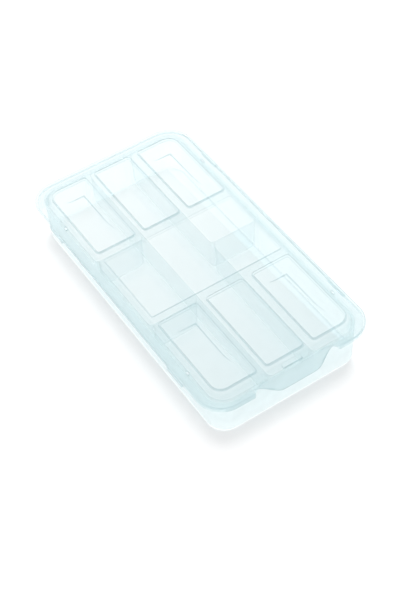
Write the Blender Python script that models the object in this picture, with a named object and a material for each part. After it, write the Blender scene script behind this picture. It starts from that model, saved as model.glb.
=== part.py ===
"""Parts sorting tray: a six-compartment moulded tray and its lift-off lid.

X runs across the tray, Y along it and Z up. The origin is the middle of the tray's underside,
and the closing tab is on the -Y side. Sizes are in metres.
"""
import math

import bmesh
import bpy

MM = 0.001
CORNER_STEPS = 7          # segments in each rounded corner of an outline
CUT_CLEARANCE = 2.0 * MM  # how far a cutter reaches past the surface it opens
EMBED = 0.1 * MM          # overlap of joined or cut shapes that would else share a face
ROUND_MIDDLE = 0.3        # inset and drop of a rounded edge's middle, as a share of its radius

# Tray
TRAY_HALF_X = 45.3 * MM   # at the foot of the walls
TRAY_HALF_Y = 91.1 * MM
TRAY_CORNER = 10.7 * MM
TRAY_FOOT_ROUND = 0.8 * MM
WALL_DRAFT = 0.5 * MM     # how much further out the walls are at the flange
WALL = 1.4 * MM
FLOOR = 1.3 * MM
FLANGE_Z = 24.0 * MM
TRAY_TOP_Z = 25.25 * MM
FLANGE_HALF_X = 49.9 * MM
FLANGE_HALF_Y = 95.0 * MM
FLANGE_CORNER = 14.1 * MM
DIVIDER_X = 13.6 * MM     # middle of each long divider
DIVIDER = 1.2 * MM
LEFT_CROSS_Y = 27.6 * MM  # the left column's two cross walls, at plus and minus this
RIGHT_CROSS_Y = 2.7 * MM  # the right column's one cross wall
SCOOP_RISE = 4.6 * MM     # height of the curve where a compartment's walls meet its floor
SCOOP_OUTER = 6.5 * MM    # how far that curve reaches in from an outer wall
SCOOP_INNER = 4.3 * MM    # and from a divider
SCOOP_STEPS = 5
POCKET_CORNER = 2.5 * MM
POCKET_CORNER_GROWTH = 0.4    # extra corner radius per unit of inset towards the floor
POCKET_DRAFT = 0.35 * MM  # how much each wall leans out between floor and top

# Lid
LID_HALF_X = 51.3 * MM
LID_HALF_Y = 96.4 * MM
LID_CORNER = 15.4 * MM
LID_WALL = 0.9 * MM
RIM_ROUND = 0.8 * MM      # rounding of the rim's outer edge
SKIRT_Z = 24.0 * MM       # lower edge of the skirt
RIM_Z = 26.5 * MM         # flat outer zone of the ledge
BASE_Z = 27.8 * MM        # level of the grooves between the panels
RIM_WIDTH = 4.2 * MM
LEDGE_WIDTH = 8.7 * MM    # from the lid's outer edge to the plateau
PLATEAU_CORNER = 7.6 * MM
LEDGE_CORNER = 11.2 * MM  # where the flat zone meets the slope
PANEL_Z = 29.0 * MM
PANEL_EDGE_X = 42.0 * MM
PANEL_EDGE_Y = 86.3 * MM
PANEL_GAP_IN = 11.95 * MM  # half-width of the middle column's panels
PANEL_GAP_OUT = 17.15 * MM  # where the outer columns' panels start
END_PANEL_Y = 30.2 * MM   # where the end panels start
PANEL_BIG_CORNER = 6.9 * MM
PANEL_SMALL_CORNER = 2.2 * MM
PANEL_ROUND = 0.5 * MM        # rounding of a panel's top edge
PANEL_EMBED = 0.4 * MM        # how far a panel's shape reaches into the plateau
SMALLEST_RADIUS = 0.2 * MM
LABEL_Z = 28.3 * MM       # the wide middle panel
LABEL_HALF_X = 41.7 * MM
LABEL_HALF_Y = 24.9 * MM
LABEL_CORNER = 1.2 * MM

# Shallow tapered recess in each corner panel, deepest at its +X +Y corner
RECESS_DEPTH = 0.7 * MM
RECESS_LENGTH = 33.0 * MM
RECESS_WIDTH = 11.3 * MM
RECESS_LEFT_X = -25.2 * MM
RECESS_RIGHT_X = 32.8 * MM
RECESS_FAR_Y = 73.5 * MM
RECESS_NEAR_Y = -41.7 * MM

# Closing tab at the front, and the room left for it in the tray's flange
TAB_X = 0.8 * MM
TAB_HALF_TOP = 24.5 * MM
TAB_HALF_BOTTOM = 10.0 * MM
TAB_CREASE_TOP = 6.5 * MM     # half-width of the flat face where it leaves the ledge
TAB_ROOT_Y = -88.4 * MM
TAB_BEND_Y = -92.0 * MM
TAB_TIP_Y = -98.4 * MM
TAB_ROOT_Z = 27.2 * MM
TAB_BEND_Z = 26.5 * MM
TAB_TIP_Z = 20.7 * MM
TAB_END_Y = -93.4 * MM    # lower edge at the outer end of each wing
TAB_END_Z = 25.4 * MM
TAB_THICK = 1.0 * MM
TAB_WING_STEPS = 7
TAB_ROWS = 4
NOTCH_Y = -92.0 * MM      # the rim stops here beside the tab
FLANGE_CUT_HALF = 25.6 * MM
FLANGE_CUT_Y = -91.3 * MM
BAR_HALF_X = 6.0 * MM
BAR_Y = (-91.8 * MM, -88.8 * MM)
BAR_Z = (26.8 * MM, 27.8 * MM)

# Side clips and the moulding slots beside them
CLIP_Y = 61.2 * MM
CLIP_HALF = 7.0 * MM
CLIP_LOW_Z = 22.0 * MM
CLIP_OUT = 0.4 * MM
CLIP_TOP_DROP = (1.6 * MM, 2.0 * MM)   # below the rim's flat: where a clip leaves the skirt
CLIP_BEVEL = 0.4 * MM
SLOT_X = 45.7 * MM
SLOT_YS = (-65.1 * MM, 59.3 * MM)
SLOT_HALF = (0.7 * MM, 1.5 * MM)
SLOT_DEPTH = 2.0 * MM


def clear_scene():
    for item in list(bpy.data.objects):
        bpy.data.objects.remove(item, do_unlink=True)


def outline(x0, x1, y0, y1, radii):
    """Rounded rectangle as points; radii runs from the +X +Y corner anticlockwise."""
    centres = ((x1, y1, -1, -1), (x0, y1, 1, -1), (x0, y0, 1, 1), (x1, y0, -1, 1))
    points = []
    for index, (x, y, inward_x, inward_y) in enumerate(centres):
        radius = radii[index]
        for step in range(CORNER_STEPS + 1):
            angle = math.radians(90.0 * (index + step / CORNER_STEPS))
            points.append((x + inward_x * radius + radius * math.cos(angle),
                           y + inward_y * radius + radius * math.sin(angle)))
    return points


def centred(half_x, half_y, radius):
    return outline(-half_x, half_x, -half_y, half_y, (radius,) * 4)


def new_object(name, mesh_data):
    mesh = bpy.data.meshes.new(name)
    mesh_data.normal_update()
    mesh_data.to_mesh(mesh)
    mesh_data.free()
    item = bpy.data.objects.new(name, mesh)
    bpy.context.collection.objects.link(item)
    return item


def add_loft(mesh_data, levels):
    """Closed solid through outlines stacked from low to high: [(points, z), ...]."""
    rings = [[mesh_data.verts.new((x, y, z)) for x, y in points] for points, z in levels]
    count = len(rings[0])
    for lower, upper in zip(rings, rings[1:]):
        for index in range(count):
            after = (index + 1) % count
            mesh_data.faces.new((lower[index], lower[after], upper[after], upper[index]))
    mesh_data.faces.new(list(reversed(rings[0])))
    mesh_data.faces.new(rings[-1])


def loft_object(name, lofts):
    mesh_data = bmesh.new()
    for levels in lofts:
        add_loft(mesh_data, levels)
    return new_object(name, mesh_data)


def box_levels(x_range, y_range, z_range):
    points = [(x_range[1], y_range[1]), (x_range[0], y_range[1]),
              (x_range[0], y_range[0]), (x_range[1], y_range[0])]
    return [(points, z_range[0]), (points, z_range[1])]


def boolean(target, tool, operation):
    """Cut the tool from the target, or join it on, and keep the tool only as a guide."""
    modifier = target.modifiers.new(tool.name, "BOOLEAN")
    modifier.operation = operation
    modifier.solver = "EXACT"
    modifier.object = tool
    tool.hide_render = True
    tool.display_type = "WIRE"


def give_material(item, colour, roughness, alpha):
    material = bpy.data.materials.new(item.name + "_plastic")
    material.use_nodes = True
    shader = material.node_tree.nodes["Principled BSDF"]
    shader.inputs["Base Color"].default_value = (*colour, 1.0)
    shader.inputs["Roughness"].default_value = roughness
    shader.inputs["Metallic"].default_value = 0.0
    shader.inputs["Alpha"].default_value = alpha
    item.data.materials.append(material)


def soften(item, angle_degrees):
    item.data.shade_smooth()
    item.data.set_sharp_from_angle(angle=math.radians(angle_degrees))


def pocket_levels(spec):
    """One compartment's hollow: a scooped floor, then walls that lean out a little."""
    (x0, x1, y0, y1), (left, right, near, far), radii = spec
    levels = []
    for step in range(SCOOP_STEPS + 1):
        angle = math.radians(90.0 * step / SCOOP_STEPS)
        reach = 1.0 - math.sin(angle)
        height = FLOOR + SCOOP_RISE * (1.0 - math.cos(angle))
        grown = [radius + POCKET_CORNER_GROWTH * (POCKET_DRAFT + SCOOP_INNER * reach)
                 for radius in radii]
        levels.append((outline(x0 + POCKET_DRAFT + left * reach, x1 - POCKET_DRAFT - right * reach,
                               y0 + POCKET_DRAFT + near * reach, y1 - POCKET_DRAFT - far * reach,
                               grown), height))
    levels.append((outline(x0, x1, y0, y1, radii), TRAY_TOP_Z))
    levels.append((outline(x0, x1, y0, y1, radii), TRAY_TOP_Z + CUT_CLEARANCE))
    return levels


def pocket_specs():
    """The six compartments as (range, scoop at each side, corner radii)."""
    outer_x = TRAY_HALF_X + WALL_DRAFT - WALL
    outer_y = TRAY_HALF_Y + WALL_DRAFT - WALL
    half = DIVIDER / 2
    columns = ((-outer_x, -DIVIDER_X - half), (-DIVIDER_X + half, DIVIDER_X - half),
               (DIVIDER_X + half, outer_x))
    cross_walls = ((-LEFT_CROSS_Y, LEFT_CROSS_Y), (), (RIGHT_CROSS_Y,))
    specs = []
    for (x0, x1), walls in zip(columns, cross_walls):
        starts = [-outer_y] + [wall + half for wall in walls]
        ends = [wall - half for wall in walls] + [outer_y]
        for y0, y1 in zip(starts, ends):
            outer = (x0 == -outer_x, x1 == outer_x, y0 == -outer_y, y1 == outer_y)
            scoops = [SCOOP_OUTER if is_outer else SCOOP_INNER for is_outer in outer]
            on_left, on_right, on_near, on_far = outer
            corners = ((on_right, on_far), (on_left, on_far), (on_left, on_near), (on_right, on_near))
            radii = [TRAY_CORNER + WALL_DRAFT - WALL if all(pair) else POCKET_CORNER
                     for pair in corners]
            specs.append(((x0, x1, y0, y1), scoops, radii))
    return specs


def make_tray():
    foot = centred(TRAY_HALF_X - TRAY_FOOT_ROUND, TRAY_HALF_Y - TRAY_FOOT_ROUND,
                   TRAY_CORNER - TRAY_FOOT_ROUND)
    low = centred(TRAY_HALF_X, TRAY_HALF_Y, TRAY_CORNER)
    high = centred(TRAY_HALF_X + WALL_DRAFT, TRAY_HALF_Y + WALL_DRAFT, TRAY_CORNER + WALL_DRAFT)
    flange = centred(FLANGE_HALF_X, FLANGE_HALF_Y, FLANGE_CORNER)
    body = [(foot, 0.0), (low, TRAY_FOOT_ROUND), (high, FLANGE_Z), (flange, FLANGE_Z),
            (flange, TRAY_TOP_Z)]
    tray = loft_object("tray", [body])
    pockets = loft_object("pockets", [pocket_levels(spec) for spec in pocket_specs()])
    boolean(tray, pockets, "DIFFERENCE")
    tab_room = loft_object("flange_cut", [box_levels(
        (TAB_X - FLANGE_CUT_HALF, TAB_X + FLANGE_CUT_HALF),
        (-FLANGE_HALF_Y - CUT_CLEARANCE, FLANGE_CUT_Y),
        (FLANGE_Z - EMBED, TRAY_TOP_Z + CUT_CLEARANCE))])
    boolean(tray, tab_room, "DIFFERENCE")
    soften(tray, 30.0)
    give_material(tray, (0.78, 0.90, 0.92), 0.35, 0.6)
    return tray


def lid_levels(offset, low_z):
    """The lid's rim, ledge and plateau base, moved in and down by offset."""
    def ring(inset, radius, z):
        return (centred(LID_HALF_X - inset - offset, LID_HALF_Y - inset - offset,
                        radius - offset), z - offset)
    part_way = ROUND_MIDDLE * RIM_ROUND
    return [
        (ring(0.0, LID_CORNER, 0.0)[0], low_z),
        ring(0.0, LID_CORNER, RIM_Z - RIM_ROUND),
        ring(part_way, LID_CORNER - part_way, RIM_Z - part_way),
        ring(RIM_ROUND, LID_CORNER - RIM_ROUND, RIM_Z),
        ring(RIM_WIDTH, LEDGE_CORNER, RIM_Z),
        ring(LEDGE_WIDTH, PLATEAU_CORNER, BASE_Z),
    ]


def panel_specs():
    """The seven raised panels as (x0, x1, y0, y1, radii, top)."""
    columns = ((-PANEL_EDGE_X, -PANEL_GAP_OUT), (-PANEL_GAP_IN, PANEL_GAP_IN),
               (PANEL_GAP_OUT, PANEL_EDGE_X))
    specs = []
    for side in (-1, 1):
        y0, y1 = sorted((side * END_PANEL_Y, side * PANEL_EDGE_Y))
        for column, (x0, x1) in enumerate(columns):
            radii = [PANEL_SMALL_CORNER] * 4
            if column != 1:
                corner = {(2, 1): 0, (0, 1): 1, (0, -1): 2, (2, -1): 3}[(column, side)]
                radii[corner] = PANEL_BIG_CORNER
            specs.append((x0, x1, y0, y1, radii, PANEL_Z))
    specs.append((-LABEL_HALF_X, LABEL_HALF_X, -LABEL_HALF_Y, LABEL_HALF_Y,
                  [LABEL_CORNER] * 4, LABEL_Z))
    return specs


def panel_levels(spec, offset, low_z):
    x0, x1, y0, y1, radii, top = spec

    def ring(inset, z):
        shrink = inset + offset
        return (outline(x0 + shrink, x1 - shrink, y0 + shrink, y1 - shrink,
                        [max(radius - shrink, SMALLEST_RADIUS) for radius in radii]), z - offset)
    step = min(PANEL_ROUND, 0.5 * (top - BASE_Z))
    part_way = ROUND_MIDDLE * step
    return [(ring(0.0, 0.0)[0], low_z), ring(0.0, top - step), ring(part_way, top - part_way),
            ring(step, top)]


def recess_wedges():
    """Four three-sided wedges, full depth along two edges' corner and nothing at their ends."""
    mesh_data = bmesh.new()
    for x in (RECESS_LEFT_X, RECESS_RIGHT_X):
        for y in (RECESS_FAR_Y, RECESS_NEAR_Y):
            deep = (x, y, PANEL_Z - RECESS_DEPTH)
            side = (x - RECESS_WIDTH, y, PANEL_Z)
            near = (x, y - RECESS_LENGTH, PANEL_Z)
            low = [mesh_data.verts.new(point) for point in (deep, side, near)]
            high = [mesh_data.verts.new((point[0], point[1], PANEL_Z + CUT_CLEARANCE))
                    for point in (deep, side, near)]
            mesh_data.faces.new(list(reversed(low)))
            mesh_data.faces.new(high)
            for index in range(3):
                after = (index + 1) % 3
                mesh_data.faces.new((low[index], low[after], high[after], high[index]))
    return new_object("recesses", mesh_data)


def smooth(t):
    return t * t * (3.0 - 2.0 * t)


def tab_stations():
    """Across the tab: (x at the ledge, x at the lower edge, how far along the wing)."""
    stations = []
    for step in range(TAB_WING_STEPS, 0, -1):
        t = step / TAB_WING_STEPS
        stations.append((-TAB_CREASE_TOP - t * (TAB_HALF_TOP - TAB_CREASE_TOP),
                         -TAB_HALF_BOTTOM - t * (TAB_HALF_TOP - TAB_HALF_BOTTOM), smooth(t)))
    stations.append((-TAB_CREASE_TOP, -TAB_HALF_BOTTOM, 0.0))
    return stations + [(-top, -bottom, t) for top, bottom, t in reversed(stations)]


def make_tab():
    """The flared closing tab: a flat sloping face with a wing swept back on each side."""
    slope = math.hypot(TAB_BEND_Y - TAB_TIP_Y, TAB_BEND_Z - TAB_TIP_Z)
    inward_y = TAB_THICK * (TAB_BEND_Z - TAB_TIP_Z) / slope
    inward_z = -TAB_THICK * (TAB_BEND_Y - TAB_TIP_Y) / slope
    mesh_data = bmesh.new()
    outer = []
    inner = []
    for top_x, bottom_x, t in tab_stations():
        end_y = TAB_TIP_Y + t * (TAB_END_Y - TAB_TIP_Y)
        end_z = TAB_TIP_Z + t * (TAB_END_Z - TAB_TIP_Z)
        line = [(top_x, TAB_ROOT_Y, TAB_ROOT_Z)]
        for row in range(TAB_ROWS + 1):
            s = row / TAB_ROWS
            line.append((top_x + s * (bottom_x - top_x), TAB_BEND_Y + s * (end_y - TAB_BEND_Y),
                         TAB_BEND_Z + s * (end_z - TAB_BEND_Z)))
        outer.append([mesh_data.verts.new((TAB_X + x, y, z)) for x, y, z in line])
        inner.append([mesh_data.verts.new((TAB_X + x, y + inward_y, z + inward_z))
                      for x, y, z in line])
    last = len(outer) - 1
    rows = TAB_ROWS + 2
    for i in range(last):
        for j in range(rows - 1):
            mesh_data.faces.new((outer[i][j], outer[i][j + 1], outer[i + 1][j + 1], outer[i + 1][j]))
            mesh_data.faces.new((inner[i][j], inner[i + 1][j], inner[i + 1][j + 1], inner[i][j + 1]))
        mesh_data.faces.new((outer[i][0], outer[i + 1][0], inner[i + 1][0], inner[i][0]))
        mesh_data.faces.new((outer[i][-1], inner[i][-1], inner[i + 1][-1], outer[i + 1][-1]))
    for j in range(rows - 1):
        mesh_data.faces.new((outer[0][j], inner[0][j], inner[0][j + 1], outer[0][j + 1]))
        mesh_data.faces.new((outer[last][j], outer[last][j + 1], inner[last][j + 1], inner[last][j]))
    return new_object("tab_shape", mesh_data)


def make_clips():
    """Four clips under the long sides, each a little proud of the skirt."""
    inner = LID_HALF_X - LID_WALL
    outer = LID_HALF_X + CLIP_OUT
    top_z = RIM_Z - CLIP_TOP_DROP[0]
    profile = ((inner, top_z), (inner, CLIP_LOW_Z), (outer - CLIP_BEVEL, CLIP_LOW_Z),
               (outer, CLIP_LOW_Z + CLIP_BEVEL), (outer, RIM_Z - CLIP_TOP_DROP[1]),
               (LID_HALF_X - EMBED, top_z))
    mesh_data = bmesh.new()
    for side in (-1, 1):
        for middle in (-CLIP_Y, CLIP_Y):
            ends = [[mesh_data.verts.new((side * x, middle + end * CLIP_HALF, z)) for x, z in profile]
                    for end in (-side, side)]
            count = len(profile)
            mesh_data.faces.new(list(ends[0]))
            mesh_data.faces.new(list(reversed(ends[1])))
            for index in range(count):
                after = (index + 1) % count
                mesh_data.faces.new((ends[0][after], ends[0][index], ends[1][index], ends[1][after]))
    return new_object("clip_shapes", mesh_data)


def make_slots():
    lofts = []
    for side in (-1, 1):
        for y in SLOT_YS:
            lofts.append(box_levels((side * SLOT_X - SLOT_HALF[0], side * SLOT_X + SLOT_HALF[0]),
                                    (y - SLOT_HALF[1], y + SLOT_HALF[1]),
                                    (RIM_Z - SLOT_DEPTH, RIM_Z + CUT_CLEARANCE)))
    return loft_object("slots", lofts)


def make_lid():
    lid = loft_object("lid", [lid_levels(0.0, SKIRT_Z)])
    embed_z = BASE_Z - PANEL_EMBED
    panels = loft_object("panels", [panel_levels(spec, 0.0, embed_z) for spec in panel_specs()])
    boolean(lid, panels, "UNION")
    boolean(lid, recess_wedges(), "DIFFERENCE")
    hollow = loft_object("lid_hollow", [lid_levels(LID_WALL, SKIRT_Z - CUT_CLEARANCE)])
    boolean(lid, hollow, "DIFFERENCE")
    below = BASE_Z - LID_WALL - PANEL_EMBED
    panel_hollows = loft_object("panel_hollows", [panel_levels(spec, LID_WALL, below)
                                                  for spec in panel_specs()])
    boolean(lid, panel_hollows, "DIFFERENCE")
    notch = loft_object("rim_notch", [box_levels(
        (TAB_X - TAB_HALF_TOP, TAB_X + TAB_HALF_TOP), (-LID_HALF_Y - CUT_CLEARANCE, NOTCH_Y),
        (SKIRT_Z - CUT_CLEARANCE, PANEL_Z))])
    boolean(lid, notch, "DIFFERENCE")
    boolean(lid, make_tab(), "UNION")
    bar = loft_object("tab_bar", [box_levels((TAB_X - BAR_HALF_X, TAB_X + BAR_HALF_X), BAR_Y, BAR_Z)])
    boolean(lid, bar, "UNION")
    boolean(lid, make_clips(), "UNION")
    boolean(lid, make_slots(), "DIFFERENCE")
    soften(lid, 30.0)
    give_material(lid, (0.72, 0.88, 0.91), 0.3, 0.5)
    return lid


clear_scene()
make_tray()
make_lid()
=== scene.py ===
import math

import bmesh
import bpy
from mathutils import Matrix, Vector


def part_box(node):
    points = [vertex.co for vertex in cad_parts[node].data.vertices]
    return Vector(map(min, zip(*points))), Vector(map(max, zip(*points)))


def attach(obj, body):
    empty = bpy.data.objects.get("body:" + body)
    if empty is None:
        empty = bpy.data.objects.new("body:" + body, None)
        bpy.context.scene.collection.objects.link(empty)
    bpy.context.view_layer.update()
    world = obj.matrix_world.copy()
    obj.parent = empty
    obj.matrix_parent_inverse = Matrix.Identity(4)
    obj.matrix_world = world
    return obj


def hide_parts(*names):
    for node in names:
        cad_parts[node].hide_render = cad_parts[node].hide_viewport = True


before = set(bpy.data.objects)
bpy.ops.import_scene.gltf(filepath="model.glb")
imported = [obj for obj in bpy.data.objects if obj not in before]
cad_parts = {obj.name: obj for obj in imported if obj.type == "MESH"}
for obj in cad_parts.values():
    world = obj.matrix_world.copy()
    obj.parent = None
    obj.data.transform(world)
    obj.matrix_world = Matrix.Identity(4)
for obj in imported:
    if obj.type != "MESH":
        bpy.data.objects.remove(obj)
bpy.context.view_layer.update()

MM = 0.001
TRAY_HIGH = Vector(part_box("tray")[1])
LID_HIGH = Vector(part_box("lid")[1])

# Camera: angles in degrees, distances in metres
CAMERA_AZIMUTH = -30.01
CAMERA_ELEVATION = 49.47
CAMERA_ROLL = -4.52
CAMERA_TARGET = Vector((-15.01, -30.75, 29.0)) * MM
CAMERA_DISTANCE = 0.70035
CAMERA_LENS_MM = 79.9
CAMERA_SENSOR_MM = 36.0
CAMERA_CLIP = (0.01, 20.0)

# Studio: each light as (place, diameter, watts), in metres
OVERHEAD = (Vector((0.22, 0.26, 0.85)), 0.55, 3.75)
FILL = (Vector((-0.45, -0.5, 0.3)), 0.5, 0.3)
WORLD_STRENGTH = 0.88
FLOOR_HALF = 4.0
PAPER = (0.945, 0.93, 0.93, 1.0)
PAPER_ROUGHNESS = 0.9
PAPER_SPECULAR = 0.1
CROSSINGS = 40                # clear surfaces one ray may pass; a slanted one meets up to 30

# Shared by all shapes
CORNER_STEPS = 14             # segments in each rounded corner of an outline
ROUND_STEPS = 4               # segments in each rounded edge
CLEARANCE = 2.0 * MM          # how far a cutter reaches past the surface it opens
EMBED = 0.1 * MM              # small overlap, and the tolerance when faces are told apart
SMALL_BEVEL = 0.3 * MM
BEVEL_SEGMENTS = 2
BEVEL_ANGLE = math.radians(40.0)
SHARP_ANGLE = math.radians(38.0)
NORMAL_WEIGHT = 80

# Tray
FLANGE_HALF_X = TRAY_HIGH.x
FLANGE_HALF_Y = TRAY_HIGH.y
TRAY_TOP_Z = TRAY_HIGH.z
FLANGE_CORNER = 14.1 * MM
FLANGE_THICK = 1.25 * MM
FLANGE_ROUND = 0.3            # rounding of its upper edge, as a share of its thickness
FLANGE_REACH_X = 4.1 * MM     # from the wall's outer face to the flange's edge
FLANGE_REACH_Y = 3.4 * MM
WALL_DRAFT = 0.5 * MM
TRAY_CORNER = 10.7 * MM
FOOT_ROUND = 0.8 * MM
WALL = 1.4 * MM
FLOOR = 1.3 * MM
LIP_ROUND = 0.35 * MM         # rounding along the top of every wall
DIVIDER_X = 13.6 * MM
DIVIDER = 1.2 * MM
LEFT_CROSS_Y = 27.6 * MM
RIGHT_CROSS_Y = 2.7 * MM
SCOOP_RISE = 4.6 * MM
SCOOP_OUTER = 6.5 * MM
SCOOP_INNER = 4.3 * MM
SCOOP_STEPS = 8
POCKET_CORNER = 2.5 * MM
POCKET_CORNER_GROWTH = 0.4
POCKET_DRAFT = 0.35 * MM

# Lid
CLIP_OUT = 0.4 * MM
LID_HALF_X = LID_HIGH.x - CLIP_OUT
LID_HALF_Y = LID_HIGH.y
PANEL_Z = LID_HIGH.z
SKIRT_Z = 24.0 * MM
RIM_Z = PANEL_Z - 2.5 * MM
BASE_Z = PANEL_Z - 1.2 * MM
LABEL_Z = PANEL_Z - 0.7 * MM
LID_CORNER = 15.4 * MM
LID_WALL = 0.9 * MM
RIM_ROUND = 0.8 * MM
RIM_WIDTH = 4.2 * MM
LEDGE_WIDTH = 8.7 * MM
LEDGE_CORNER = 11.2 * MM
PLATEAU_CORNER = 7.6 * MM
SLOPE_STEPS = 6
PANEL_EDGE_X = 42.0 * MM
PANEL_EDGE_Y = 86.3 * MM
PANEL_GAP_IN = 11.95 * MM
PANEL_GAP_OUT = 17.15 * MM
END_PANEL_Y = 30.2 * MM
PANEL_BIG_CORNER = 6.9 * MM
PANEL_SMALL_CORNER = 2.2 * MM
PANEL_ROUND = 0.6 * MM
PANEL_FILLET = 0.4 * MM
ROUND_SHARE = 0.5             # most of a panel's height that its rounding may take
FILLET_SHARE = 0.4
PANEL_EMBED = 0.4 * MM
LABEL_HALF_X = 41.7 * MM
LABEL_HALF_Y = 24.9 * MM
LABEL_CORNER = 1.2 * MM
SMALLEST_RADIUS = 0.15 * MM
TINY = 0.001 * MM

# Tapered recess in each corner panel
RECESS_DEPTH = 0.7 * MM
RECESS_LENGTH = 33.0 * MM
RECESS_WIDTH = 11.6 * MM
RECESS_LEFT_X = -25.2 * MM
RECESS_RIGHT_X = 32.8 * MM
RECESS_FAR_Y = 73.5 * MM
RECESS_NEAR_Y = -41.7 * MM
RECESS_STEPS = 12
RECESS_WALL = 0.7 * MM        # width of the sloping wall along both legs
RECESS_HOOK = 1.3 * MM        # how far each leg's shallow end turns outwards
HOOK_START = 0.72             # share of a leg before the hook
HOOK_RUN = 0.28

# Closing tab
TAB_X = 0.8 * MM
TAB_HALF_TOP = 24.5 * MM
TAB_HALF_BOTTOM = 10.0 * MM
TAB_CREASE_TOP = 6.5 * MM
TAB_ROOT = (-88.4 * MM, 27.2 * MM)
TAB_BEND = (-92.0 * MM, 26.5 * MM)
TAB_TIP = (-98.4 * MM, 20.7 * MM)
TAB_END = (-93.4 * MM, 25.4 * MM)
TAB_THICK = 1.0 * MM
TAB_WING_STEPS = 14
TAB_ROWS = 6
NOTCH_Y = -92.0 * MM
NOTCH_ENDS = (19.5 * MM, 31.0 * MM)
NOTCH_STEPS = 14
FLANGE_CUT_HALF = 25.6 * MM
FLANGE_CUT_Y = -91.3 * MM
BAR_HALF_X = 6.0 * MM
BAR_Y = (-91.8 * MM, -88.8 * MM)
BAR_Z = (26.8 * MM, 27.8 * MM)

# Side clips and slots
CLIP_Y = 61.2 * MM
CLIP_HALF = 7.0 * MM
CLIP_LOW_Z = 22.0 * MM
CLIP_TOP_DROP = (1.6 * MM, 2.0 * MM)
SLOT_X = 45.7 * MM
SLOT_YS = (-65.1 * MM, 59.3 * MM)
SLOT_RADIUS = 0.75 * MM
SLOT_LENGTH = 1.4 * MM

# Face values: which faces show as painted dark lines (painted shade), and how much painted shade
# from its tint the lid's rim takes
BEND_LOW = 500.0              # radians per metre where a bend begins to show as a line
BEND_HIGH = 900.0
MAX_BEND = math.radians(60.0)
HOLLOW_BEND = 0.3             # how much less a hollow bend shows than a rounded edge
STEEP = 0.6                   # steep faces have a normal whose z is less than this
STEP_HEIGHT = 0.9 * MM        # steep faces lower than this near the top count as lines
RECESS_SLOPES = (0.3, 0.9998) # z of the normals on a recess's sloping walls
SLOT_ZONE = 2.0               # slot faces lie within this many slot sizes of its centre
INNER_LINE = 0.2              # how much less a line shows on the lid's inner faces
# Painted shade across the whole tab: the least line value that its faces take
TAB_SHADE = 0.17               # the least that any face of the tab takes
# Painted shade: the line weights below make lines strongest on the right and near sides
LEVEL_LINE = 0.6
MIDDLE_LINE = 0.66
LINE_SWING = 0.34
LINE_SHADE_TOWARDS = (0.6, -0.8)    # lines are strongest on faces turned this way
LEVEL = 0.9                   # level faces have a normal whose z is more than this
DOWNWARD = -0.1
# Painted shade on the lid's rim: shares of the rim tint for the gaps, the flat rim and the skirt;
# the right and far sides take it all, the others less
GAP_SHADE = 0.25
FLAT_RIM_SHADE = 0.45
SKIRT_SHADE = 0.7
FAR_SIDE = 0.85               # the right and far sides begin at this share of the half size
NEAR_SHARE = 0.5              # the rim's other sides take this share of its tint
UPRIGHT = 0.5                 # side walls have a normal whose z is less than this
SIDE_X = TRAY_HIGH.x - 6.5 * MM
SIDE_Y = TRAY_HIGH.y - 6.0 * MM
CORNER_ZONE = 5.0 * MM
TOWARDS_LIGHT = 0.5
LIT_SHADE = 0.15              # share of the side shadow on walls turned to the light

# Plastic
OPAQUE = 1.0
IOR = 1.49
BUMP_DISTANCE = 0.0001
GRAIN_SCALE = 1400.0
ROUGHNESS_SCALE = 55.0
HAZE_SCALE = 38.0
HAZE_RANGE = (0.85, 1.15)
NOISE_RANGE = (0.3, 0.7)      # where nearly all of a noise's values lie
MILK_ROUGHNESS = 0.35
# Painted shade: the tray's walls take a darker tint than its floor above these heights
WALL_SHADE_START = (0.0014, 0.0021) # heights between which the floor's tint turns to the wall's
# Painted shade: the see-through tint darkens towards the near end along this run
NEAR_SHADE_RUN = (0.07, -0.09)      # from where to where, along y, the near tint grows
MIRROR_BASE = 0.04            # reflection seen straight on, and what grazing views add
MIRROR_GRAZING = 0.7
GRAZING_POWER = 5.0


def link(item):
    """Puts an object into the scene."""
    bpy.context.scene.collection.objects.link(item)
    return item


def outline(x0, x1, y0, y1, radii):
    """Rounded rectangle as points; radii runs from the +X +Y corner anticlockwise."""
    centres = ((x1, y1, -1, -1), (x0, y1, 1, -1), (x0, y0, 1, 1), (x1, y0, -1, 1))
    points = []
    for index, (x, y, inward_x, inward_y) in enumerate(centres):
        radius = max(radii[index], SMALLEST_RADIUS)
        for step in range(CORNER_STEPS + 1):
            angle = math.radians(90.0 * (index + step / CORNER_STEPS))
            points.append((x + inward_x * radius + radius * math.cos(angle),
                           y + inward_y * radius + radius * math.sin(angle)))
    return points


def centred(half_x, half_y, radius):
    """Rounded rectangle round the middle, with one radius."""
    return outline(-half_x, half_x, -half_y, half_y, (radius,) * 4)


def rounding(radius):
    """(inset, drop) pairs up a rounded edge, from the vertical side to the flat top."""
    pairs = []
    for step in range(ROUND_STEPS + 1):
        angle = math.radians(90.0 * step / ROUND_STEPS)
        pairs.append((radius * (1.0 - math.cos(angle)), radius * (1.0 - math.sin(angle))))
    return pairs


def add_loft(mesh_data, levels):
    """Closed solid through outlines stacked from low to high: [(points, z), ...]."""
    rings = [[mesh_data.verts.new((x, y, z)) for x, y in points] for points, z in levels]
    count = len(rings[0])
    for lower, upper in zip(rings, rings[1:]):
        for index in range(count):
            after = (index + 1) % count
            mesh_data.faces.new((lower[index], lower[after], upper[after], upper[index]))
    mesh_data.faces.new(list(reversed(rings[0])))
    mesh_data.faces.new(rings[-1])


def new_object(name, mesh_data):
    """Turns a bmesh into an object."""
    mesh = bpy.data.meshes.new(name)
    mesh_data.normal_update()
    mesh_data.to_mesh(mesh)
    mesh_data.free()
    return link(bpy.data.objects.new(name, mesh))


def loft_object(name, lofts):
    """One object with a closed loft for each list of levels."""
    mesh_data = bmesh.new()
    for levels in lofts:
        add_loft(mesh_data, levels)
    return new_object(name, mesh_data)


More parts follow.
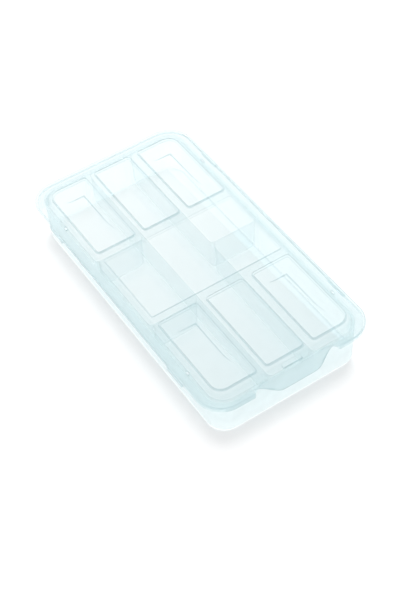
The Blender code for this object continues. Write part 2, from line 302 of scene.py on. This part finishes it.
def box_levels(x_range, y_range, z_range):
    """Levels of a straight block."""
    points = [(x_range[1], y_range[1]), (x_range[0], y_range[1]),
              (x_range[0], y_range[0]), (x_range[1], y_range[0])]
    return [(points, z_range[0]), (points, z_range[1])]


def bevelled(item):
    """Breaks an object's sharp edges."""
    modifier = item.modifiers.new("edge", "BEVEL")
    modifier.width = SMALL_BEVEL
    modifier.segments = BEVEL_SEGMENTS
    modifier.limit_method = "ANGLE"
    modifier.angle_limit = BEVEL_ANGLE
    return item


def line_shade_weight(normal):
    """How strongly a bend shows as a painted dark line: painted shade, most on the right and near
    sides.
    """
    across = math.hypot(normal.x, normal.y)
    if across < 0.1:
        return LEVEL_LINE
    turned = (LINE_SHADE_TOWARDS[0] * normal.x + LINE_SHADE_TOWARDS[1] * normal.y) / across
    return MIDDLE_LINE + LINE_SWING * turned


def is_recess_wall(face, centre):
    """Whether a face is one of the sloping walls along both legs of a recess."""
    if centre.z < BASE_Z or not RECESS_SLOPES[0] < face.normal.z < RECESS_SLOPES[1]:
        return False
    for x in (RECESS_LEFT_X, RECESS_RIGHT_X):
        for y in (RECESS_FAR_Y, RECESS_NEAR_Y):
            dx, dy = centre.x - x, centre.y - y
            long_leg = -RECESS_WALL < dx < RECESS_HOOK and -RECESS_LENGTH < dy < 0.0
            short_leg = -RECESS_WALL < dy < RECESS_HOOK and -RECESS_WIDTH < dx < 0.0
            if long_leg or short_leg:
                return True
    return False


def is_slot_wall(face, centre):
    """Whether a face is a wall of one of the slots in the ledge."""
    return (abs(face.normal.z) < STEEP and centre.z < RIM_Z
            and abs(abs(centre.x) - SLOT_X) < SLOT_ZONE * SLOT_RADIUS
            and min(abs(centre.y - y) for y in SLOT_YS) < SLOT_ZONE * SLOT_LENGTH)


def is_skirt_foot(face, centre):
    """Whether a face belongs to the narrow ring under the lid's skirt."""
    return (face.normal.z < -LEVEL and abs(centre.z - SKIRT_Z) < EMBED
            and (abs(centre.x) > TRAY_HIGH.x or abs(centre.y) > TRAY_HIGH.y))


def is_low_step(face):
    """Whether a face is a low steep step near the top, such as a panel's side."""
    heights = [vert.co.z for vert in face.verts]
    return (abs(face.normal.z) < STEEP and max(heights) - min(heights) < STEP_HEIGHT
            and min(heights) > BASE_Z - EMBED)


def is_on_tab(centre):
    """Whether a point lies in the tab's part of the lid."""
    return (centre.y < NOTCH_Y - EMBED and abs(centre.x - TAB_X) < TAB_HALF_TOP
            and centre.z < RIM_Z)


def tightest_bend(face, width):
    """The face's tightest bend to a neighbour, in radians per metre."""
    bend = 0.0
    for edge in face.edges:
        for other in edge.link_faces:
            angle = face.normal.angle(other.normal, 0.0)
            if angle < MAX_BEND:
                share = 1.0 if edge.is_convex else HOLLOW_BEND
                apart = 0.5 * (width[face] + width[other])
                bend = max(bend, share * angle / max(apart, TINY))
    return bend


def line_shade_value(face, centre, width):
    """How strongly a face shows as a painted dark line (painted shade): steps, slot and recess
    walls and the skirt's foot fully, tight bends in part, and the whole tab a little.
    """
    if (is_low_step(face) or is_slot_wall(face, centre) or is_recess_wall(face, centre)
            or is_skirt_foot(face, centre)):
        return 1.0
    bend = (tightest_bend(face, width) - BEND_LOW) / (BEND_HIGH - BEND_LOW)
    value = min(1.0, max(0.0, bend)) * line_shade_weight(face.normal)
    if centre.z > SKIRT_Z + EMBED and face.normal.z < 0.0:
        value *= INNER_LINE
    return max(value, TAB_SHADE) if is_on_tab(centre) else value


def rim_shade_value(face, centre):
    """How much painted shade from the rim's tint a lid face takes: most on the slope, less on the
    flat rim, a little in the gaps between panels, and more on the right and far sides than on the
    others.
    """
    z = centre.z + (LID_WALL if face.normal.z < DOWNWARD else 0.0)
    if z > BASE_Z - EMBED:
        return GAP_SHADE if z < BASE_Z + EMBED else 0.0
    is_far = centre.x > FAR_SIDE * SIDE_X or centre.y > FAR_SIDE * SIDE_Y
    place = 1.0 if is_far else NEAR_SHARE
    if z > RIM_Z + EMBED:
        return place
    return (FLAT_RIM_SHADE if abs(face.normal.z) > LEVEL else SKIRT_SHADE) * place


def is_outer_side(face, centre):
    """Whether a face is on the outside of a side wall."""
    outward = face.normal.x * centre.x > 0.0 or face.normal.y * centre.y > 0.0
    past_x, past_y = abs(centre.x) - SIDE_X, abs(centre.y) - SIDE_Y
    beyond = max(past_x, past_y) > 0.0 or min(past_x, past_y) > -CORNER_ZONE
    return abs(face.normal.z) < UPRIGHT and beyond and outward


def mark_faces(mesh, is_lid):
    """Face values for the material: painted dark lines of painted shade ("edge"), outer side walls
    ("side"), how much those stop shadow rays ("shade") and the painted shade on the lid's rim
    ("rim")."""
    mesh_data = bmesh.new()
    mesh_data.from_mesh(mesh)
    line_shade_layer = mesh_data.faces.layers.float.new("edge")
    side_layer = mesh_data.faces.layers.float.new("side")
    shade_layer = mesh_data.faces.layers.float.new("shade")
    rim_shade_layer = mesh_data.faces.layers.float.new("rim")
    width = {face: face.calc_area() / max(edge.calc_length() for edge in face.edges)
             for face in mesh_data.faces}
    for face in mesh_data.faces:
        centre = face.calc_center_median()
        is_side = is_outer_side(face, centre)
        is_lit = max(face.normal.x, face.normal.y) > TOWARDS_LIGHT
        face[line_shade_layer] = line_shade_value(face, centre, width)
        face[rim_shade_layer] = rim_shade_value(face, centre) if is_lid else 0.0
        face[side_layer] = 1.0 if is_side else 0.0
        face[shade_layer] = (LIT_SHADE if is_lit else 1.0) if is_side else 0.0
    mesh_data.to_mesh(mesh)
    mesh_data.free()


def carve(target, steps):
    """Runs (tool, operation) booleans in order, keeps the result's mesh and drops the tools."""
    for tool, operation in steps:
        modifier = target.modifiers.new(tool.name, "BOOLEAN")
        modifier.operation = operation
        modifier.solver = "EXACT"
        modifier.object = tool
    depsgraph = bpy.context.evaluated_depsgraph_get()
    mesh = bpy.data.meshes.new_from_object(target.evaluated_get(depsgraph))
    target.modifiers.clear()
    target.data = mesh
    for tool, _ in steps:
        bpy.data.objects.remove(tool, do_unlink=True)
    mark_faces(mesh, "lid" in target.name)
    mesh.shade_smooth()
    mesh.set_sharp_from_angle(angle=SHARP_ANGLE)
    modifier = target.modifiers.new("normals", "WEIGHTED_NORMAL")
    modifier.keep_sharp = True
    modifier.weight = NORMAL_WEIGHT
    return target


def pocket_levels(spec):
    """One compartment's hollow: scooped floor, leaning walls and a rounded lip."""
    (x0, x1, y0, y1), (left, right, near, far), radii = spec
    levels = []
    for step in range(SCOOP_STEPS + 1):
        angle = math.radians(90.0 * step / SCOOP_STEPS)
        reach = 1.0 - math.sin(angle)
        height = FLOOR + SCOOP_RISE * (1.0 - math.cos(angle))
        grown = [radius + POCKET_CORNER_GROWTH * (POCKET_DRAFT + SCOOP_INNER * reach)
                 for radius in radii]
        levels.append((outline(x0 + POCKET_DRAFT + left * reach, x1 - POCKET_DRAFT - right * reach,
                               y0 + POCKET_DRAFT + near * reach, y1 - POCKET_DRAFT - far * reach,
                               grown), height))
    for out, drop in rounding(LIP_ROUND):
        levels.append((outline(x0 - out, x1 + out, y0 - out, y1 + out,
                               [radius + out for radius in radii]), TRAY_TOP_Z - drop))
    levels.append((levels[-1][0], TRAY_TOP_Z + CLEARANCE))
    return levels


def pocket_specs():
    """The six compartments as (range, scoop at each side, corner radii)."""
    outer_x = FLANGE_HALF_X - FLANGE_REACH_X - WALL
    outer_y = FLANGE_HALF_Y - FLANGE_REACH_Y - WALL
    half = DIVIDER / 2
    columns = ((-outer_x, -DIVIDER_X - half), (-DIVIDER_X + half, DIVIDER_X - half),
               (DIVIDER_X + half, outer_x))
    cross_walls = ((-LEFT_CROSS_Y, LEFT_CROSS_Y), (), (RIGHT_CROSS_Y,))
    specs = []
    for (x0, x1), walls in zip(columns, cross_walls):
        starts = [-outer_y] + [wall + half for wall in walls]
        ends = [wall - half for wall in walls] + [outer_y]
        for y0, y1 in zip(starts, ends):
            on_left, on_right = x0 == -outer_x, x1 == outer_x
            on_near, on_far = y0 == -outer_y, y1 == outer_y
            scoops = [SCOOP_OUTER if side else SCOOP_INNER
                      for side in (on_left, on_right, on_near, on_far)]
            corners = ((on_right, on_far), (on_left, on_far),
                       (on_left, on_near), (on_right, on_near))
            radii = [TRAY_CORNER + WALL_DRAFT - WALL if all(pair) else POCKET_CORNER
                     for pair in corners]
            specs.append(((x0, x1, y0, y1), scoops, radii))
    return specs


def make_tray():
    """The tray: tapered body with a flange, six hollows and room for the tab."""
    top_x, top_y = FLANGE_HALF_X - FLANGE_REACH_X, FLANGE_HALF_Y - FLANGE_REACH_Y
    foot = []
    for inset, drop in reversed(rounding(FOOT_ROUND)):
        out = WALL_DRAFT + inset
        foot.append((centred(top_x - out, top_y - out, TRAY_CORNER - inset), drop))
    flange_z = TRAY_TOP_Z - FLANGE_THICK
    body = foot + [(centred(top_x, top_y, TRAY_CORNER + WALL_DRAFT), flange_z)]
    edge = FLANGE_THICK * FLANGE_ROUND
    flange = [(0.0, flange_z), (0.0, TRAY_TOP_Z - edge)]
    flange += [(inset, TRAY_TOP_Z - drop) for inset, drop in rounding(edge)][1:]
    body += [(centred(FLANGE_HALF_X - inset, FLANGE_HALF_Y - inset, FLANGE_CORNER - inset), z)
             for inset, z in flange]
    tray = loft_object("tray_shell", [body])
    pockets = loft_object("pockets", [pocket_levels(spec) for spec in pocket_specs()])
    room = loft_object("room", [box_levels(
        (TAB_X - FLANGE_CUT_HALF, TAB_X + FLANGE_CUT_HALF),
        (-FLANGE_HALF_Y - CLEARANCE, FLANGE_CUT_Y), (flange_z - EMBED, TRAY_TOP_Z + CLEARANCE))])
    return carve(tray, [(pockets, "DIFFERENCE"), (room, "DIFFERENCE")])


def smooth(t):
    """Eases a share from 0 to 1 in and out."""
    return t * t * (3.0 - 2.0 * t)


def lid_levels(offset, low_z):
    """The lid's rim, ledge and plateau base, moved in and down by offset."""
    def ring(inset, radius, z):
        return (centred(LID_HALF_X - inset - offset, LID_HALF_Y - inset - offset,
                        radius - offset), z - offset)
    levels = [(ring(0.0, LID_CORNER, 0.0)[0], low_z)]
    levels += [ring(inset, LID_CORNER - inset, RIM_Z - drop) for inset, drop in rounding(RIM_ROUND)]
    for step in range(SLOPE_STEPS + 1):
        t = step / SLOPE_STEPS
        levels.append(ring(RIM_WIDTH + t * (LEDGE_WIDTH - RIM_WIDTH),
                           LEDGE_CORNER + t * (PLATEAU_CORNER - LEDGE_CORNER),
                           RIM_Z + smooth(t) * (BASE_Z - RIM_Z)))
    return levels


def panel_specs():
    """The seven raised panels as (x0, x1, y0, y1, radii, top)."""
    columns = ((-PANEL_EDGE_X, -PANEL_GAP_OUT), (-PANEL_GAP_IN, PANEL_GAP_IN),
               (PANEL_GAP_OUT, PANEL_EDGE_X))
    specs = []
    for side in (-1, 1):
        y0, y1 = sorted((side * END_PANEL_Y, side * PANEL_EDGE_Y))
        for column, (x0, x1) in enumerate(columns):
            radii = [PANEL_SMALL_CORNER] * 4
            if column != 1:
                corner = {(2, 1): 0, (0, 1): 1, (0, -1): 2, (2, -1): 3}[(column, side)]
                radii[corner] = PANEL_BIG_CORNER
            specs.append((x0, x1, y0, y1, radii, PANEL_Z))
    specs.append((-LABEL_HALF_X, LABEL_HALF_X, -LABEL_HALF_Y, LABEL_HALF_Y,
                  [LABEL_CORNER] * 4, LABEL_Z))
    return specs


def panel_levels(spec, offset, low_z):
    """One raised panel with a fillet at its foot and a rounded top, moved in by offset."""
    x0, x1, y0, y1, radii, top = spec

    def ring(inset, z):
        shrink = inset + offset
        return (outline(x0 + shrink, x1 - shrink, y0 + shrink, y1 - shrink,
                        [radius - shrink for radius in radii]), z - offset)

    round_top = min(PANEL_ROUND, ROUND_SHARE * (top - BASE_Z))
    fillet = min(PANEL_FILLET, FILLET_SHARE * (top - BASE_Z))
    levels = [(ring(-fillet, 0.0)[0], low_z)]
    for inset, drop in rounding(fillet):
        levels.append(ring(-drop, BASE_Z + inset))
    levels += [ring(inset, top - drop) for inset, drop in rounding(round_top)]
    return levels


def recess_leg(corner, along, outward, length):
    """Points (x, y, depth) from the recess's deep corner along one leg with a hooked end."""
    points = []
    for step in range(RECESS_STEPS + 1):
        t = step / RECESS_STEPS
        hook = RECESS_HOOK * max(0.0, (t - HOOK_START) / HOOK_RUN) ** 2
        points.append((corner[0] + along[0] * length * t + outward[0] * hook,
                       corner[1] + along[1] * length * t + outward[1] * hook,
                       RECESS_DEPTH * (1.0 - t)))
    return points


def recess_rows(x, y):
    """Points of one recess wedge as rows of two legs: low, top and roof."""
    legs = (recess_leg((x, y), (-1, 0), (0, 1), RECESS_WIDTH),
            recess_leg((x, y), (0, -1), (1, 0), RECESS_LENGTH))
    low, top, roof = [], [], []
    for leg, inward in zip(legs, ((0, -1), (-1, 0))):
        steps = [(-1, -1)] + [inward] * RECESS_STEPS
        low.append([(px + dx * RECESS_WALL, py + dy * RECESS_WALL, PANEL_Z - depth)
                    for (px, py, depth), (dx, dy) in zip(leg, steps)])
        top.append([(px, py, PANEL_Z + EMBED) for px, py, _ in leg])
        roof.append([(px, py, PANEL_Z + CLEARANCE) for px, py, _ in leg])
    return low, top, roof


def recess_wedges():
    """Four shallow wedges, deep at the +X +Y corner, with a sloping wall along both legs."""
    mesh_data = bmesh.new()
    for x in (RECESS_LEFT_X, RECESS_RIGHT_X):
        for y in (RECESS_FAR_Y, RECESS_NEAR_Y):
            rows = []
            for points in recess_rows(x, y):
                first = [mesh_data.verts.new(point) for point in points[0]]
                second = [mesh_data.verts.new(point) for point in points[1][1:]]
                rows.append((first, [first[0]] + second))
            for i in range(RECESS_STEPS):
                for one, two in (rows[0], rows[2]):
                    corners = [one[i], two[i], two[i + 1], one[i + 1]]
                    mesh_data.faces.new(corners if i else [one[0], two[1], one[1]])
                for leg in (0, 1):
                    for row in (0, 1):
                        lower, upper = rows[row][leg], rows[row + 1][leg]
                        mesh_data.faces.new((lower[i], lower[i + 1], upper[i + 1], upper[i]))
            for lower, upper in zip(rows, rows[1:]):
                mesh_data.faces.new((lower[0][-1], lower[1][-1], upper[1][-1], upper[0][-1]))
    bmesh.ops.recalc_face_normals(mesh_data, faces=mesh_data.faces)
    return new_object("recesses", mesh_data)


def tab_stations():
    """Stations across the tab as (x at the top, x at the tip, how far it is swept back)."""
    stations = []
    for step in range(TAB_WING_STEPS, 0, -1):
        t = step / TAB_WING_STEPS
        stations.append((-TAB_CREASE_TOP - t * (TAB_HALF_TOP - TAB_CREASE_TOP),
                         -TAB_HALF_BOTTOM - t * (TAB_HALF_TOP - TAB_HALF_BOTTOM), smooth(t)))
    stations.append((-TAB_CREASE_TOP, -TAB_HALF_BOTTOM, 0.0))
    return stations + [(-top, -bottom, t) for top, bottom, t in reversed(stations)]


def make_tab():
    """The flared closing tab: a flat sloping face with a wing swept back on each side."""
    run = (TAB_TIP[0] - TAB_BEND[0], TAB_TIP[1] - TAB_BEND[1])
    slope = math.hypot(*run)
    inward = (-TAB_THICK * run[1] / slope, TAB_THICK * run[0] / slope)
    mesh_data = bmesh.new()
    outer, inner = [], []
    for top_x, bottom_x, t in tab_stations():
        end = [TAB_TIP[k] + t * (TAB_END[k] - TAB_TIP[k]) for k in (0, 1)]
        line = [(top_x, *TAB_ROOT)]
        for row in range(TAB_ROWS + 1):
            s = row / TAB_ROWS
            line.append((top_x + s * (bottom_x - top_x), TAB_BEND[0] + s * (end[0] - TAB_BEND[0]),
                         TAB_BEND[1] + s * (end[1] - TAB_BEND[1])))
        outer.append([mesh_data.verts.new((TAB_X + x, y, z)) for x, y, z in line])
        inner.append([mesh_data.verts.new((TAB_X + x, y + inward[0], z + inward[1]))
                      for x, y, z in line])
    last = len(outer) - 1
    rows = TAB_ROWS + 2
    for i in range(last):
        for j in range(rows - 1):
            mesh_data.faces.new((outer[i][j], outer[i][j + 1],
                                 outer[i + 1][j + 1], outer[i + 1][j]))
            mesh_data.faces.new((inner[i][j], inner[i + 1][j],
                                 inner[i + 1][j + 1], inner[i][j + 1]))
        mesh_data.faces.new((outer[i][0], outer[i + 1][0], inner[i + 1][0], inner[i][0]))
        mesh_data.faces.new((outer[i][-1], inner[i][-1], inner[i + 1][-1], outer[i + 1][-1]))
    for j in range(rows - 1):
        mesh_data.faces.new((outer[0][j], inner[0][j], inner[0][j + 1], outer[0][j + 1]))
        mesh_data.faces.new((outer[last][j], outer[last][j + 1],
                             inner[last][j + 1], inner[last][j]))
    return bevelled(new_object("tab_shape", mesh_data))


def make_clips():
    """The four side clips, which hang below the skirt over the flange."""
    inner = LID_HALF_X - LID_WALL
    outer = LID_HALF_X + CLIP_OUT
    top_z = RIM_Z - CLIP_TOP_DROP[0]
    profile = ((inner, top_z), (inner, CLIP_LOW_Z), (outer, CLIP_LOW_Z),
               (outer, RIM_Z - CLIP_TOP_DROP[1]), (LID_HALF_X - EMBED, top_z))
    mesh_data = bmesh.new()
    for side in (-1, 1):
        for middle in (-CLIP_Y, CLIP_Y):
            ends = [[mesh_data.verts.new((side * x, middle + end * CLIP_HALF, z))
                     for x, z in profile] for end in (-side, side)]
            count = len(profile)
            mesh_data.faces.new(list(ends[0]))
            mesh_data.faces.new(list(reversed(ends[1])))
            for index in range(count):
                after = (index + 1) % count
                mesh_data.faces.new((ends[0][after], ends[0][index],
                                     ends[1][index], ends[1][after]))
    return bevelled(new_object("clip_shapes", mesh_data))


def make_slots():
    """Cutters for the small slots in the ledge."""
    lofts = []
    for side in (-1, 1):
        for y in SLOT_YS:
            points = outline(side * SLOT_X - SLOT_RADIUS, side * SLOT_X + SLOT_RADIUS,
                             y - SLOT_LENGTH, y + SLOT_LENGTH, (SLOT_RADIUS,) * 4)
            lofts.append([(points, RIM_Z - CLEARANCE), (points, RIM_Z + CLEARANCE)])
    return loft_object("slots", lofts)


def notch_points():
    """The rim's opening above the tab, whose ends sweep out to the skirt in an S-curve."""
    inner_x, outer_x = NOTCH_ENDS
    far_y = -LID_HALF_Y - CLEARANCE
    points = []
    for step in range(NOTCH_STEPS + 1):
        t = step / NOTCH_STEPS
        points.append((inner_x + t * (outer_x - inner_x), NOTCH_Y + smooth(t) * (far_y - NOTCH_Y)))
    mirrored = [(-x, y) for x, y in points]
    return [(TAB_X + x, y) for x, y in points[::-1] + mirrored]


def make_lid():
    """The lid: shell with raised panels and recesses, the tab, its bar, clips and slots."""
    lid = loft_object("lid_shell", [lid_levels(0.0, SKIRT_Z)])
    panels = loft_object("panels", [panel_levels(spec, 0.0, BASE_Z - PANEL_EMBED)
                                    for spec in panel_specs()])
    hollow = loft_object("hollow", [lid_levels(LID_WALL, SKIRT_Z - CLEARANCE)])
    below = BASE_Z - LID_WALL - PANEL_EMBED
    panel_hollows = loft_object("panel_hollows", [panel_levels(spec, LID_WALL, below)
                                                  for spec in panel_specs()])
    notch = loft_object("notch", [[(notch_points(), z) for z in (SKIRT_Z - CLEARANCE, PANEL_Z)]])
    bar = bevelled(loft_object("bar", [box_levels((TAB_X - BAR_HALF_X, TAB_X + BAR_HALF_X),
                                                  BAR_Y, BAR_Z)]))
    return carve(lid, [(panels, "UNION"), (recess_wedges(), "DIFFERENCE"), (hollow, "DIFFERENCE"),
                       (panel_hollows, "DIFFERENCE"), (notch, "DIFFERENCE"), (make_tab(), "UNION"),
                       (bar, "UNION"), (make_clips(), "UNION"), (make_slots(), "DIFFERENCE")])


def make_camera():
    """Seen from above the front left, tilted a few degrees."""
    azimuth = math.radians(CAMERA_AZIMUTH)
    elevation = math.radians(CAMERA_ELEVATION)
    roll = math.radians(CAMERA_ROLL)
    back = Vector((math.sin(azimuth) * math.cos(elevation),
                   -math.cos(azimuth) * math.cos(elevation), math.sin(elevation)))
    side = Vector((math.cos(azimuth), math.sin(azimuth), 0.0))
    up = back.cross(side)
    right = math.cos(roll) * side + math.sin(roll) * up
    top = math.cos(roll) * up - math.sin(roll) * side
    data = bpy.data.cameras.new("camera")
    data.lens = CAMERA_LENS_MM
    data.sensor_width = CAMERA_SENSOR_MM
    data.clip_start, data.clip_end = CAMERA_CLIP
    camera = link(bpy.data.objects.new("camera", data))
    turn = Matrix((right, top, back)).transposed().to_4x4()
    camera.matrix_world = Matrix.Translation(CAMERA_TARGET + back * CAMERA_DISTANCE) @ turn
    bpy.context.scene.camera = camera


def area_light(name, place, size, energy):
    """A round soft light aimed at the object; it leaves no glare on the gloss."""
    data = bpy.data.lights.new(name, "AREA")
    data.shape = "DISK"
    data.size = size
    data.energy = energy
    light = link(bpy.data.objects.new(name, data))
    light.location = place
    light.rotation_euler = (-place).to_track_quat("-Z", "Y").to_euler()
    light.visible_glossy = False


def make_stage():
    """White paper floor, two soft lights and an even pale surround."""
    mesh = bpy.data.meshes.new("floor")
    corners = [(x * FLOOR_HALF, y * FLOOR_HALF, 0) for x, y in ((-1, -1), (1, -1), (1, 1), (-1, 1))]
    mesh.from_pydata(corners, [], [(0, 1, 2, 3)])
    floor = link(bpy.data.objects.new("floor", mesh))
    material = bpy.data.materials.new("floor_paper")
    material.use_nodes = True
    shader = material.node_tree.nodes["Principled BSDF"]
    shader.inputs["Base Color"].default_value = PAPER
    shader.inputs["Roughness"].default_value = PAPER_ROUGHNESS
    shader.inputs["Specular IOR Level"].default_value = PAPER_SPECULAR
    mesh.materials.append(material)
    area_light("overhead", *OVERHEAD)
    area_light("fill", *FILL)
    world = bpy.data.worlds.new("studio")
    world.use_nodes = True
    background = world.node_tree.nodes["Background"]
    background.inputs["Color"].default_value = (1.0, 1.0, 1.0, 1.0)
    background.inputs["Strength"].default_value = WORLD_STRENGTH
    bpy.context.scene.world = world
    bpy.context.scene.view_settings.view_transform = "Standard"
    bpy.context.scene.cycles.transparent_max_bounces = CROSSINGS


class Nodes:
    """Short calls that build one material's node tree."""

    def __init__(self, tree):
        self.nodes, self.links = tree.nodes, tree.links
        self.nodes.clear()

    def new(self, kind, **values):
        """A new node with some of its inputs set: a number, a colour or another node's output."""
        made = self.nodes.new("ShaderNode" + kind)
        for key, value in values.items():
            self.put(made.inputs[key.replace("_", " ")], value)
        return made

    def put(self, socket, value):
        if isinstance(value, (int, float)):
            socket.default_value = value
        elif isinstance(value, tuple):
            socket.default_value = (*value, OPAQUE)
        else:
            self.links.new(value, socket)

    def maths(self, operation, first, second):
        made = self.new("Math")
        made.operation = operation
        self.put(made.inputs[0], first)
        self.put(made.inputs[1], second)
        return made.outputs[0]

    def add(self, first, second):
        return self.maths("ADD", first, second)

    def times(self, first, second):
        return self.maths("MULTIPLY", first, second)

    def mixed(self, factor, first, second):
        """Mixes two shaders."""
        made = self.new("MixShader")
        for index, value in enumerate((factor, first, second)):
            self.put(made.inputs[index], value)
        return made.outputs[0]

    def blended(self, factor, first, second):
        """Mixes two colours; a colour Mix node's inputs 6 and 7 are its colours."""
        made = self.new("Mix")
        made.data_type = "RGBA"
        self.put(made.inputs["Factor"], factor)
        self.put(made.inputs[6], first)
        self.put(made.inputs[7], second)
        return made.outputs[2]

    def ranged(self, value, source, target=(0.0, 1.0)):
        """Maps one range of values to another, and stops at its ends."""
        made = self.new("MapRange", Value=value, From_Min=source[0], From_Max=source[1],
                        To_Min=target[0], To_Max=target[1])
        return made.outputs[0]

    def noise(self, place, scale, detail, target):
        made = self.new("TexNoise", Vector=place, Scale=scale, Detail=detail)
        return self.ranged(made.outputs["Fac"], NOISE_RANGE, target)

    def face_value(self, name):
        """A value that mark_faces has given to each face."""
        made = self.new("Attribute")
        made.attribute_name = name
        return made.outputs["Fac"]


def plastic(name, look):
    """Moulded plastic: see-through, refracting and milky shares of one surface, with painted shade
    in the see-through tint.
    """
    material = bpy.data.materials.new(name)
    material.use_nodes = True
    tree = Nodes(material.node_tree)
    place = tree.new("TexCoord").outputs["Object"]
    spot = tree.new("SeparateXYZ", Vector=place)
    edge, side = tree.face_value("edge"), tree.face_value("side")
    shadow = tree.new("LightPath").outputs["Is Shadow Ray"]
    seen = tree.maths("SUBTRACT", 1.0, shadow)
    bump = tree.new("Bump", Strength=look["grain"], Distance=BUMP_DISTANCE,
                    Height=tree.noise(place, GRAIN_SCALE, 2.0, (0.0, 1.0))).outputs[0]

    # What passes straight through: one tint for what is seen, with painted shade on the tray's
    # walls, towards the near end, on the lid's rim and along the lines, and another for shadow rays
    walls = tree.blended(tree.ranged(spot.outputs["Z"], WALL_SHADE_START),
                         look["clear_tint"], look["wall_shade_tint"])
    # Painted shade towards the near end
    near = tree.blended(tree.ranged(spot.outputs["Y"], NEAR_SHADE_RUN), walls, look["near_shade_tint"])
    outer = tree.blended(side, near, look["side_tint"])
    # Painted shade on the lid's rim
    rim = tree.blended(tree.face_value("rim"), outer, look["rim_shade_tint"])
    # Painted shade: dark lines along bends, steps and the tab
    lit = tree.blended(edge, rim, look["line_shade_tint"])
    shade = tree.blended(tree.face_value("shade"), look["shadow_tint"], look["side_shadow"])
    clear = tree.new("BsdfTransparent", Color=tree.blended(shadow, lit, shade)).outputs[0]

    # Gloss that grows towards grazing views
    gloss = tree.new("BsdfGlossy", Color=(1.0, 1.0, 1.0), Roughness=look["gloss"], Normal=bump)
    facing = tree.new("LayerWeight", Blend=0.5).outputs["Facing"]
    grazing = tree.maths("POWER", facing, GRAZING_POWER)
    reflected = tree.add(MIRROR_BASE, tree.times(grazing, MIRROR_GRAZING))
    coated = tree.mixed(tree.times(seen, reflected), clear, gloss.outputs[0])

    # A share of refracting glass along the lines
    glass = tree.new("BsdfPrincipled", Base_Color=look["glass_tint"], IOR=IOR,
                     Transmission_Weight=1.0, Normal=bump,
                     Roughness=tree.noise(place, ROUGHNESS_SCALE, 3.0, look["roughness"]))
    share = tree.times(seen, tree.times(edge, look["edge_glass"]))
    sheer = tree.mixed(share, coated, glass.outputs[0])

    # Milk: light scattered back and through, most in the side walls
    milk = tree.new("BsdfPrincipled", Base_Color=look["milk_tint"], Roughness=MILK_ROUGHNESS,
                    Normal=bump)
    through = tree.new("BsdfTranslucent", Color=look["milk_tint"])
    haze = tree.add(look["milk"], tree.times(side, look["side_milk"]))
    haze = tree.times(haze, tree.noise(place, HAZE_SCALE, 4.0, HAZE_RANGE))
    haze = tree.times(haze, tree.add(1.0, tree.times(shadow, look["shadow_milk"] - 1.0)))
    cloudy = tree.mixed(look["glow"], milk.outputs[0], through.outputs[0])

    absorb = tree.new("VolumeAbsorption", Color=look["body"], Density=look["density"])
    tree.new("OutputMaterial", Surface=tree.mixed(haze, sheer, cloudy), Volume=absorb.outputs[0])
    return material


# body and density: what the plastic absorbs inside. milk and side_milk: the share that scatters
# light, and how much more does in the side walls. shadow_milk: how much of that stops shadow rays.
# glow: the part of the milk that shines through. edge_glass: the share of glass along the lines.
# grain, roughness and gloss: the surface's bump and roughness. The tints colour what passes
# straight through a face, each kind of face with its own; the wall, near, rim and line tints
# are painted shade. Shadow rays have two of their own.
LOOKS = {
    "tray": {
        "body": (0.15, 0.80, 0.90), "density": 6.0,
        "milk": 0.02, "side_milk": 0.58, "shadow_milk": 0.2, "glow": 0.8,
        "edge_glass": 0.05, "grain": 0.10, "roughness": (0.04, 0.10), "gloss": 0.32,
        "glass_tint": (0.99, 0.998, 0.999),
        "milk_tint": (0.96, 0.998, 1.0),
        "clear_tint": (0.993, 0.999, 0.998),
        "wall_shade_tint": (0.962, 0.977, 0.981),
        "near_shade_tint": (0.957, 0.977, 0.980),
        "side_tint": (0.992, 0.998, 1.0),
        "rim_shade_tint": (0.955, 0.971, 0.975),
        "line_shade_tint": (0.90, 0.925, 0.935),
        "shadow_tint": (0.997, 0.999, 1.0),
        "side_shadow": (0.0, 0.0, 0.0),
    },
    "lid": {
        "body": (0.10, 0.75, 0.85), "density": 12.0,
        "milk": 0.02, "side_milk": 0.08, "shadow_milk": 0.2, "glow": 0.5,
        "edge_glass": 0.10, "grain": 0.08, "roughness": (0.02, 0.06), "gloss": 0.28,
        "glass_tint": (0.985, 0.996, 0.998),
        "milk_tint": (0.88, 0.975, 0.978),
        "clear_tint": (0.989, 0.998, 0.998),
        "wall_shade_tint": (0.989, 0.998, 0.998),
        "near_shade_tint": (0.957, 0.979, 0.982),
        "side_tint": (0.970, 0.985, 0.988),
        "rim_shade_tint": (0.880, 0.934, 0.941),
        "line_shade_tint": (0.715, 0.795, 0.812),
        "shadow_tint": (0.997, 0.999, 1.0),
        "side_shadow": (0.04, 0.03, 0.03),
    },
}


def dress(piece, node):
    """Gives a piece its plastic and lets it stand for the CAD node of the same name."""
    piece.data.materials.clear()
    piece.data.materials.append(plastic(node + "_plastic", LOOKS[node]))
    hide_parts(node)
    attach(piece, node)


make_camera()
make_stage()
dress(make_tray(), "tray")
dress(make_lid(), "lid")
